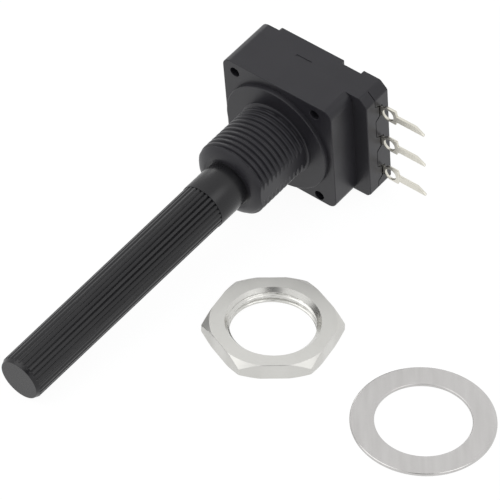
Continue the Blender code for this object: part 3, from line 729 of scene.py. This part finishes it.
def turned_shaft():
    rows = [
        shaft_row(SHAFT_TIP, TIP_FACE_RADIUS - TIP_ROUND * 2),
        shaft_row(SHAFT_TIP, TIP_FACE_RADIUS - TIP_ROUND),
        shaft_row(SHAFT_TIP - TIP_ROUND * ROUND_SHARE, TIP_FACE_RADIUS - TIP_ROUND * ROUND_SHARE),
    ]
    for step in range(1, TIP_STEPS + 1):
        forward = SHAFT_TIP - TIP_ROUND - TIP_CHAMFER * step / TIP_STEPS
        reach = TIP_FACE_RADIUS + (TIP_RADIUS + TIP_OVERLAP - TIP_FACE_RADIUS) * step / TIP_STEPS
        rows.append(shaft_row(forward, reach, flute=fluted_radius(forward)))
    start = SHAFT_TIP - TIP_ROUND - TIP_CHAMFER
    for step in range(1, FLUTED_STEPS + 1):
        forward = start + (NECK_END - start) * step / FLUTED_STEPS
        rows.append(shaft_row(forward, SHAFT_RADIUS, flute=fluted_radius(forward)))
    profile = [
        (NECK_END, SHAFT_RADIUS - NECK_EDGE),
        (NECK_END - NECK_EDGE * ROUND_SHARE, SHAFT_RADIUS - NECK_EDGE * ROUND_SHARE),
        (NECK_END - NECK_EDGE, SHAFT_RADIUS),
    ]
    for step in range(WAIST_STEPS + 1):
        share = 1 - step / WAIST_STEPS
        forward = WAIST_BEND + (NECK_START - WAIST_BEND) * share
        profile.append((forward, WAIST_RADIUS + (SHAFT_RADIUS - WAIST_RADIUS) * smooth_step(share)))
    profile += [(WAIST_BOTTOM, WAIST_RADIUS), (WAIST_BOTTOM, LAND_RADIUS)]
    profile += [(LAND_BACK, LAND_RADIUS), (LAND_BACK, SHAFT_RADIUS), (SHOULDER, SHAFT_RADIUS)]
    rows += [shaft_row(forward, radius) for forward, radius in profile]
    rows += [shaft_row(forward, DRIVE_RADIUS, flat=DRIVE_FLAT) for forward in (SHOULDER, DRIVE_END)]
    rows += [shaft_row(forward, SPIGOT_RADIUS) for forward in (DRIVE_END, SPIGOT_END)]
    return skinned(rows, sharp=SHAFT_SHARP_ANGLE)


def lug_blade(z, rivet_x):
    eye_x = BLOCK_END + EYE_FROM_BLOCK
    tab_end = BLOCK_END + TAB_LENGTH
    pin_start = tab_end + SHOULDER_LENGTH
    pin_end = pin_start + PIN_LENGTH
    start = math.pi - math.asin(STRIP_HALF / TAB_HALF)
    root = [(rivet_x - STRIP_END, STRIP_HALF)]
    root += arc(TAB_HALF, start, math.pi / 2, LUG_ARC_STEPS, (eye_x, 0.0))
    outline = root + [
        (tab_end, TAB_HALF),
        (pin_start, PIN_ABOVE),
        (pin_end - PIN_POINT, PIN_ABOVE),
        (pin_end, PIN_TIP_ABOVE),
        (pin_end, -PIN_BELOW),
        (pin_start, -PIN_BELOW),
        (tab_end, -TAB_HALF),
    ]
    outline += [(x, -half) for x, half in reversed(root)]
    outline = [(x, z + height) for x, height in outline]
    eye = circle(EYE_RADIUS, EYE_SEGMENTS, (eye_x, z - EYE_DROP))
    rivet = circle(RIVET_HOLE, RIVET_SEGMENTS, (rivet_x, z))
    steps = []
    for hole in (eye, rivet):
        steps.append(("DIFFERENCE", slab(hole, "Y", LUG_FRONT - CUT_PAST, LUG_REAR + CUT_PAST)))
    mesh = combined(slab(outline, "Y", LUG_FRONT, LUG_REAR), steps)

    def on_a_face(point):
        return point.y < LUG_FRONT + TOUCH or point.y > LUG_REAR - TOUCH

    return eased(mesh, [(on_a_face, LUG_EDGE, SMALL_EDGE_SEGMENTS)])


def nut_columns():
    """Angles round the nut, closer together at its corners, each with the radius of its side."""
    columns = []
    for side in range(6):
        for step in range(2 * NUT_COLUMNS):
            bend = math.radians(30) * math.sin(TURN / 4 * (step / NUT_COLUMNS - 1))
            radius = NUT_ACROSS_FLATS / 2 / math.cos(bend)
            corner = NUT_ACROSS_FLATS / math.sqrt(3) - NUT_CORNER_TRIM
            columns.append((math.radians(30 + 60 * side) + bend, min(radius, corner)))
    return columns


def nut_ring():
    """Faces, sides chamfered at the corners and threaded bore of the nut in one closed ring."""
    columns = nut_columns()
    slope = NUT_CHAMFER / (NUT_ACROSS_FLATS / math.sqrt(3) - NUT_FACE_RADIUS)

    def even(radius, height):
        return [(radius * math.cos(a), radius * math.sin(a), height) for a, _ in columns]

    def side(height_at):
        row = []
        for a, reach in columns:
            radius, height = height_at(reach)
            row.append((radius * math.cos(a), radius * math.sin(a), height))
        return row

    def fall(radius):
        return max(0.0, radius - NUT_FACE_RADIUS) * slope

    def face(reach):
        return min(reach - NUT_EDGE * 2, NUT_FACE_RADIUS)

    def bore_radius(angle, height):
        turns = height / THREAD_PITCH - angle / TURN
        radius = NUT_MINOR + NUT_THREAD_DEPTH * thread_drop(turns)
        mouth = NUT_MINOR + NUT_COUNTERSINK - (NUT_THICKNESS - height) / NUT_MOUTH_SLOPE
        return max(radius, mouth, NUT_MINOR + NUT_BACK_COUNTERSINK - height)

    top = NUT_THICKNESS
    mouth = NUT_MINOR + NUT_COUNTERSINK
    rows = [
        even(mouth + NUT_MOUTH_MARGIN, top),
        side(lambda r: (face(r) - NUT_EDGE, top)),
        side(lambda r: (face(r), top)),
        side(lambda r: (r - NUT_EDGE, top - fall(r - NUT_EDGE))),
        side(lambda r: (r, top - fall(r) - NUT_EDGE)),
        side(lambda r: (r, fall(r) + NUT_EDGE)),
        side(lambda r: (r - NUT_EDGE, fall(r - NUT_EDGE))),
        side(lambda r: (face(r), 0.0)),
        side(lambda r: (face(r) - NUT_EDGE, 0.0)),
        even(NUT_MINOR + NUT_THREAD_DEPTH + NUT_BACK_MARGIN, 0.0),
    ]
    steps = round(NUT_THICKNESS / THREAD_PITCH * NUT_THREAD_SAMPLES)
    for step in range(steps + 1):
        height = NUT_THICKNESS * step / steps
        row = []
        for angle, _ in columns:
            radius = bore_radius(angle, height)
            row.append((radius * math.cos(angle), radius * math.sin(angle), height))
        rows.append(row)
    return skinned(rows, loop=True, sharp=NUT_SHARP_ANGLE)


def washer_ring():
    corners = [
        (WASHER_RADIUS - WASHER_EDGE, WASHER_THICKNESS - WASHER_EDGE, 0.0),
        (WASHER_HOLE + WASHER_EDGE, WASHER_THICKNESS - WASHER_EDGE, TURN / 4),
        (WASHER_HOLE + WASHER_EDGE, WASHER_EDGE, TURN / 2),
        (WASHER_RADIUS - WASHER_EDGE, WASHER_EDGE, TURN * 3 / 4),
    ]
    section = []
    for radius, height, start in corners:
        section += arc(WASHER_EDGE, start, start + TURN / 4, EDGE_STEPS, (radius, height))
    rows = []
    for radius, height in section:
        rows.append([(radius * c, radius * s, height) for c, s in circle(1.0, WASHER_SEGMENTS)])
    return skinned(rows, loop=True)


def node_at(tree, kind, **inputs):
    """New shader node with some of its inputs set."""
    node = tree.nodes.new(kind)
    for name, value in inputs.items():
        node.inputs[name.replace("_", " ")].default_value = value
    return node


def noise_factor(tree, scale, detail=3.0, stretch=None):
    """Noise over the piece's own coordinates, its scale per metre, stretched or not."""
    coordinates = tree.nodes.new("ShaderNodeTexCoord")
    source = coordinates.outputs["Object"]
    if stretch:
        mapping = node_at(tree, "ShaderNodeMapping", Scale=stretch)
        tree.links.new(source, mapping.inputs["Vector"])
        source = mapping.outputs["Vector"]
    noise = node_at(tree, "ShaderNodeTexNoise", Scale=scale, Detail=detail)
    tree.links.new(source, noise.inputs["Vector"])
    return noise.outputs["Fac"]


def spread(tree, factor, low, high):
    """Numbers from low to high over the middle of a noise."""
    reach = tree.nodes.new("ShaderNodeMapRange")
    reach.inputs["From Min"].default_value = NOISE_LOW
    reach.inputs["From Max"].default_value = NOISE_HIGH
    reach.inputs["To Min"].default_value = low
    reach.inputs["To Max"].default_value = high
    tree.links.new(factor, reach.inputs["Value"])
    return reach.outputs["Result"]


def blended(tree, factor, low, high):
    """Colours from low to high over the middle of a noise."""
    ramp = tree.nodes.new("ShaderNodeValToRGB")
    ramp.color_ramp.elements[0].position = NOISE_LOW
    ramp.color_ramp.elements[0].color = (*low, 1.0)
    ramp.color_ramp.elements[1].position = NOISE_HIGH
    ramp.color_ramp.elements[1].color = (*high, 1.0)
    tree.links.new(factor, ramp.inputs["Fac"])
    return ramp.outputs["Color"]


def bumped(tree, shader, factor, strength):
    bump = node_at(tree, "ShaderNodeBump", Strength=strength, Distance=GRAIN_HEIGHT)
    tree.links.new(factor, bump.inputs["Height"])
    tree.links.new(bump.outputs["Normal"], shader.inputs["Normal"])


def new_shader(name):
    material = bpy.data.materials.new(name)
    material.use_nodes = True
    return material, material.node_tree, material.node_tree.nodes["Principled BSDF"]


def plastic(name, low, high, rough, grain=7000.0, strength=0.05, specular=0.34):
    """Moulded plastic: fine spark-eroded grain, with a slow change of tone and gloss."""
    material, tree, shader = new_shader(name)
    slow = noise_factor(tree, PLASTIC_PATCHES, detail=4.0)
    fine = noise_factor(tree, grain)
    tree.links.new(blended(tree, slow, low, high), shader.inputs["Base Color"])
    tree.links.new(spread(tree, slow, *rough), shader.inputs["Roughness"])
    shader.inputs["Specular IOR Level"].default_value = specular
    bumped(tree, shader, fine, strength)
    return material


def rim_factor(tree, inner, outer):
    """0 inside one radius about the piece's own axis, rising to 1 at another."""
    coordinates = tree.nodes.new("ShaderNodeTexCoord")
    flat = node_at(tree, "ShaderNodeMapping", Scale=(1.0, 1.0, 0.0))
    tree.links.new(coordinates.outputs["Object"], flat.inputs["Vector"])
    length = tree.nodes.new("ShaderNodeVectorMath")
    length.operation = "LENGTH"
    tree.links.new(flat.outputs["Vector"], length.inputs[0])
    reach = tree.nodes.new("ShaderNodeMapRange")
    reach.inputs["From Min"].default_value = inner
    reach.inputs["From Max"].default_value = outer
    tree.links.new(length.outputs["Value"], reach.inputs["Value"])
    return reach.outputs["Result"]


def metal(name, low, high, rough, stretch, scale=900.0, strength=0.08, streaks=None, rings=()):
    """Metal with fine lines from rolling or turning, streaked or not, rougher or smoother in rings."""
    material, tree, shader = new_shader(name)
    lines = noise_factor(tree, scale, detail=4.0, stretch=stretch)
    slow = noise_factor(tree, METAL_PATCHES, stretch=streaks)
    tree.links.new(blended(tree, slow, low, high), shader.inputs["Base Color"])
    roughness = spread(tree, lines, *rough)
    for inner, outer, extra in rings:
        more = tree.nodes.new("ShaderNodeMath")
        more.operation = "MULTIPLY_ADD"
        more.inputs[1].default_value = extra
        tree.links.new(rim_factor(tree, inner, outer), more.inputs[0])
        tree.links.new(roughness, more.inputs[2])
        roughness = more.outputs[0]
    tree.links.new(roughness, shader.inputs["Roughness"])
    shader.inputs["Metallic"].default_value = 1.0
    bumped(tree, shader, lines, strength)
    return material


# The extra blue in these colours is painted light: it stands in for the bluish light that falls from the room
# above.
BLACK_PLASTIC = plastic(
    "black_plastic",
    low=(0.0240, 0.0230, 0.0280),
    high=(0.0270, 0.0260, 0.0310),
    rough=(0.32, 0.40),
)
# The extra blue in these colours is painted light: it stands in for the bluish light that falls from the room
# above.
SHAFT_PLASTIC = plastic(
    "shaft_plastic",
    low=(0.0105, 0.0102, 0.0120),
    high=(0.0130, 0.0127, 0.0145),
    rough=(0.24, 0.31),
    specular=0.40,
)
NATURAL_PLASTIC = plastic(
    "natural_plastic",
    low=(0.68, 0.66, 0.60),
    high=(0.74, 0.72, 0.66),
    rough=(0.40, 0.52),
)
LAMINATE = plastic(
    "brown_laminate",
    low=(0.20, 0.11, 0.05),
    high=(0.28, 0.15, 0.07),
    rough=(0.5, 0.7),
    grain=2500.0,
    strength=0.4,
)
BRONZE = metal(
    "contact_bronze",
    low=(0.58, 0.38, 0.20),
    high=(0.66, 0.45, 0.24),
    rough=(0.28, 0.42),
    stretch=(1, 12, 1),
)
SPRING_STEEL = metal(
    "spring_steel",
    low=(0.50, 0.50, 0.51),
    high=(0.58, 0.58, 0.59),
    rough=(0.25, 0.36),
    stretch=(1, 12, 1),
)
TINNED_BRASS = metal(
    "tinned_brass",
    low=(0.65, 0.63, 0.56),
    high=(0.77, 0.75, 0.68),
    rough=(0.30, 0.44),
    stretch=(6, 1, 1),
)
PLATED_NUT = metal(
    "plated_nut",
    low=(0.610, 0.605, 0.580),
    high=(0.640, 0.635, 0.610),
    rough=(0.24, 0.30),
    stretch=(1, 1, 4),
    scale=400.0,
    strength=0.03,
    rings=(NUT_BORE_RING, NUT_CORNER_RING),
)
PLATED_WASHER = metal(
    "plated_washer",
    low=(0.515, 0.505, 0.497),
    high=(0.570, 0.560, 0.552),
    rough=(0.30, 0.42),
    stretch=(9, 1, 1),
    scale=400.0,
    strength=0.03,
    streaks=(6, 0.8, 1),
    rings=(WASHER_RIM_RING,),
)


def encoder_place():
    """Where the encoder's own frame stands, from the joint that its shaft turns on."""
    joint = next(joint for joint in frame["joints"] if joint["name"] == "shaft_turn")
    axis = Vector(joint["axis"])
    tilt = math.atan2(-axis.z, -axis.y)
    return Matrix.Translation(joint["pos_m"]) @ Matrix.Rotation(tilt, 4, "X")


def lying_place(node, yaw=0.0):
    """Where a ring that lies on the table stands, turned about its own axis."""
    low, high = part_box(node)
    centre = (low + high) / 2
    return Matrix.Translation((centre.x, centre.y, low.z)) @ Matrix.Rotation(yaw, 4, "Z")


def make_object():
    place = encoder_place()
    black = (BLACK_PLASTIC, "black_plastic")
    make_piece("housing_shell", housing_shell(), place, "case", *black, ["housing"], weighted=True)
    make_piece("housing_bushing", bushing_ring(), place, "case", *black, ["housing"])
    make_piece("cover_shell", cover_shell(), place, "case", *black, ["rear_cover"], weighted=True)
    shaft = (SHAFT_PLASTIC, "shaft_plastic")
    make_piece("shaft_turned", turned_shaft(), place, "spindle", *shaft, ["shaft"])
    tinned = (TINNED_BRASS, "tinned_brass")
    for name, z, rivet_x in LUGS:
        blade = lug_blade(z, rivet_x)
        node = f"terminal_{name}"
        make_piece(f"lug_{name}", blade, place, "case", *tinned, [node], weighted=True)
    nut_place = lying_place("mounting_nut", NUT_YAW)
    nut = (PLATED_NUT, "plated_nut")
    make_piece("nut_turned", nut_ring(), nut_place, "nut", *nut, ["mounting_nut"])
    washer_place = lying_place("flat_washer", WASHER_YAW)
    washer = (PLATED_WASHER, "plated_washer")
    ring = washer_ring()
    make_piece("washer_pressed", ring, washer_place, "washer", *washer, ["flat_washer"], weighted=True)


INNER_FINISHES = {
    "natural_plastic": NATURAL_PLASTIC,
    "spring_steel": SPRING_STEEL,
    "contact_bronze": BRONZE,
    "brown_laminate": LAMINATE,
    "tinned_brass": TINNED_BRASS,
}


def dress_inner_nodes():
    """Gives the CAD nodes that stay inside the body their finish, from the record's slots."""
    for subpart in frame["record"]["subparts"]:
        finish = INNER_FINISHES.get(subpart["material_slot"])
        node = frame["nodes"][subpart["node"]]
        if finish and not node.hide_render:
            node.data.materials.clear()
            node.data.materials.append(finish)


def seen_ray(tree):
    """1 for a ray that shows the background: from the camera, a reflection or through glass."""
    path = tree.nodes.new("ShaderNodeLightPath")
    total = path.outputs["Is Camera Ray"]
    for name in ("Is Glossy Ray", "Is Transmission Ray"):
        either = tree.nodes.new("ShaderNodeMath")
        either.operation = "MAXIMUM"
        tree.links.new(total, either.inputs[0])
        tree.links.new(path.outputs[name], either.inputs[1])
        total = either.outputs[0]
    return total


def make_world():
    world = bpy.data.worlds.new("studio")
    world.use_nodes = True
    tree = world.node_tree
    tree.nodes.clear()
    room = node_at(tree, "ShaderNodeBackground", Color=ROOM_TINT, Strength=ROOM_LEVEL)
    white = node_at(tree, "ShaderNodeBackground", Color=WHITE, Strength=WHITE_LEVEL)
    mix = tree.nodes.new("ShaderNodeMixShader")
    output = tree.nodes.new("ShaderNodeOutputWorld")
    tree.links.new(seen_ray(tree), mix.inputs["Fac"])
    tree.links.new(room.outputs[0], mix.inputs[1])
    tree.links.new(white.outputs[0], mix.inputs[2])
    tree.links.new(mix.outputs[0], output.inputs["Surface"])
    SCENE.world = world


def make_floor():
    """White table. Seen rays find it white but for the object's soft shadow."""
    mesh = bpy.data.meshes.new("floor")
    signs = ((-1, -1), (1, -1), (1, 1), (-1, 1))
    corners = [(FLOOR_SIDE * x, FLOOR_SIDE * y, FLOOR_HEIGHT) for x, y in signs]
    mesh.from_pydata(corners, [], [(0, 1, 2, 3)])
    floor = bpy.data.objects.new("floor", mesh)
    SCENE.collection.objects.link(floor)
    material = bpy.data.materials.new("white_table")
    material.use_nodes = True
    tree = material.node_tree
    tree.nodes.clear()
    lit = node_at(tree, "ShaderNodeBsdfDiffuse", Color=FLOOR_LIT)
    shade = node_at(tree, "ShaderNodeBsdfDiffuse", Color=FLOOR_SHADE)
    glow = node_at(tree, "ShaderNodeEmission", Color=WHITE, Strength=FLOOR_GLOW)
    seen = tree.nodes.new("ShaderNodeAddShader")
    mix = tree.nodes.new("ShaderNodeMixShader")
    output = tree.nodes.new("ShaderNodeOutputMaterial")
    tree.links.new(shade.outputs[0], seen.inputs[0])
    tree.links.new(glow.outputs[0], seen.inputs[1])
    tree.links.new(seen_ray(tree), mix.inputs["Fac"])
    tree.links.new(lit.outputs[0], mix.inputs[1])
    tree.links.new(seen.outputs[0], mix.inputs[2])
    tree.links.new(mix.outputs[0], output.inputs["Surface"])
    mesh.materials.append(material)


def make_lamp(name, place, size, power):
    lamp = bpy.data.lights.new(name, "AREA")
    lamp.shape = "DISK"
    lamp.size = size
    lamp.energy = power
    obj = bpy.data.objects.new(name, lamp)
    SCENE.collection.objects.link(obj)
    obj.location = place
    aim = Vector(place) - VIEW_TARGET
    obj.rotation_mode = "QUATERNION"
    obj.rotation_quaternion = aim.to_track_quat("Z", "Y")


def make_card():
    """Dark card behind the camera, which the surfaces that face it reflect."""
    back = VIEW_BACK
    place = VIEW_TARGET + back * CARD_DISTANCE
    level = Vector((back.y, -back.x, 0.0)).normalized()
    rise = back.cross(level)
    mesh = bpy.data.meshes.new("card")
    ring = [place + level * x + rise * y for x, y in circle(CARD_RADIUS, CARD_SEGMENTS)]
    mesh.from_pydata(ring, [], [tuple(range(len(ring)))])
    card = bpy.data.objects.new("card", mesh)
    SCENE.collection.objects.link(card)
    material = bpy.data.materials.new("dark_card")
    material.use_nodes = True
    shader = material.node_tree.nodes["Principled BSDF"]
    shader.inputs["Base Color"].default_value = CARD_COLOUR
    shader.inputs["Roughness"].default_value = CARD_ROUGHNESS
    mesh.materials.append(material)


def make_camera():
    data = bpy.data.cameras.new("camera")
    data.lens = VIEW_LENS
    data.sensor_width = SENSOR_WIDTH
    camera = bpy.data.objects.new("camera", data)
    SCENE.collection.objects.link(camera)
    level = Vector((math.cos(VIEW_AZIMUTH), math.sin(VIEW_AZIMUTH), 0.0))
    right = level * math.cos(VIEW_ROLL) + VIEW_BACK.cross(level) * math.sin(VIEW_ROLL)
    turn = Matrix((right, VIEW_BACK.cross(right), VIEW_BACK)).transposed()
    place = VIEW_TARGET + VIEW_BACK * VIEW_DISTANCE
    camera.matrix_world = Matrix.Translation(place) @ turn.to_4x4()
    SCENE.camera = camera


make_camera()
make_world()
make_floor()
for lamp in LAMPS:
    make_lamp(*lamp)
make_card()
SCENE.view_settings.view_transform = "Standard"
make_object()
dress_inner_nodes()
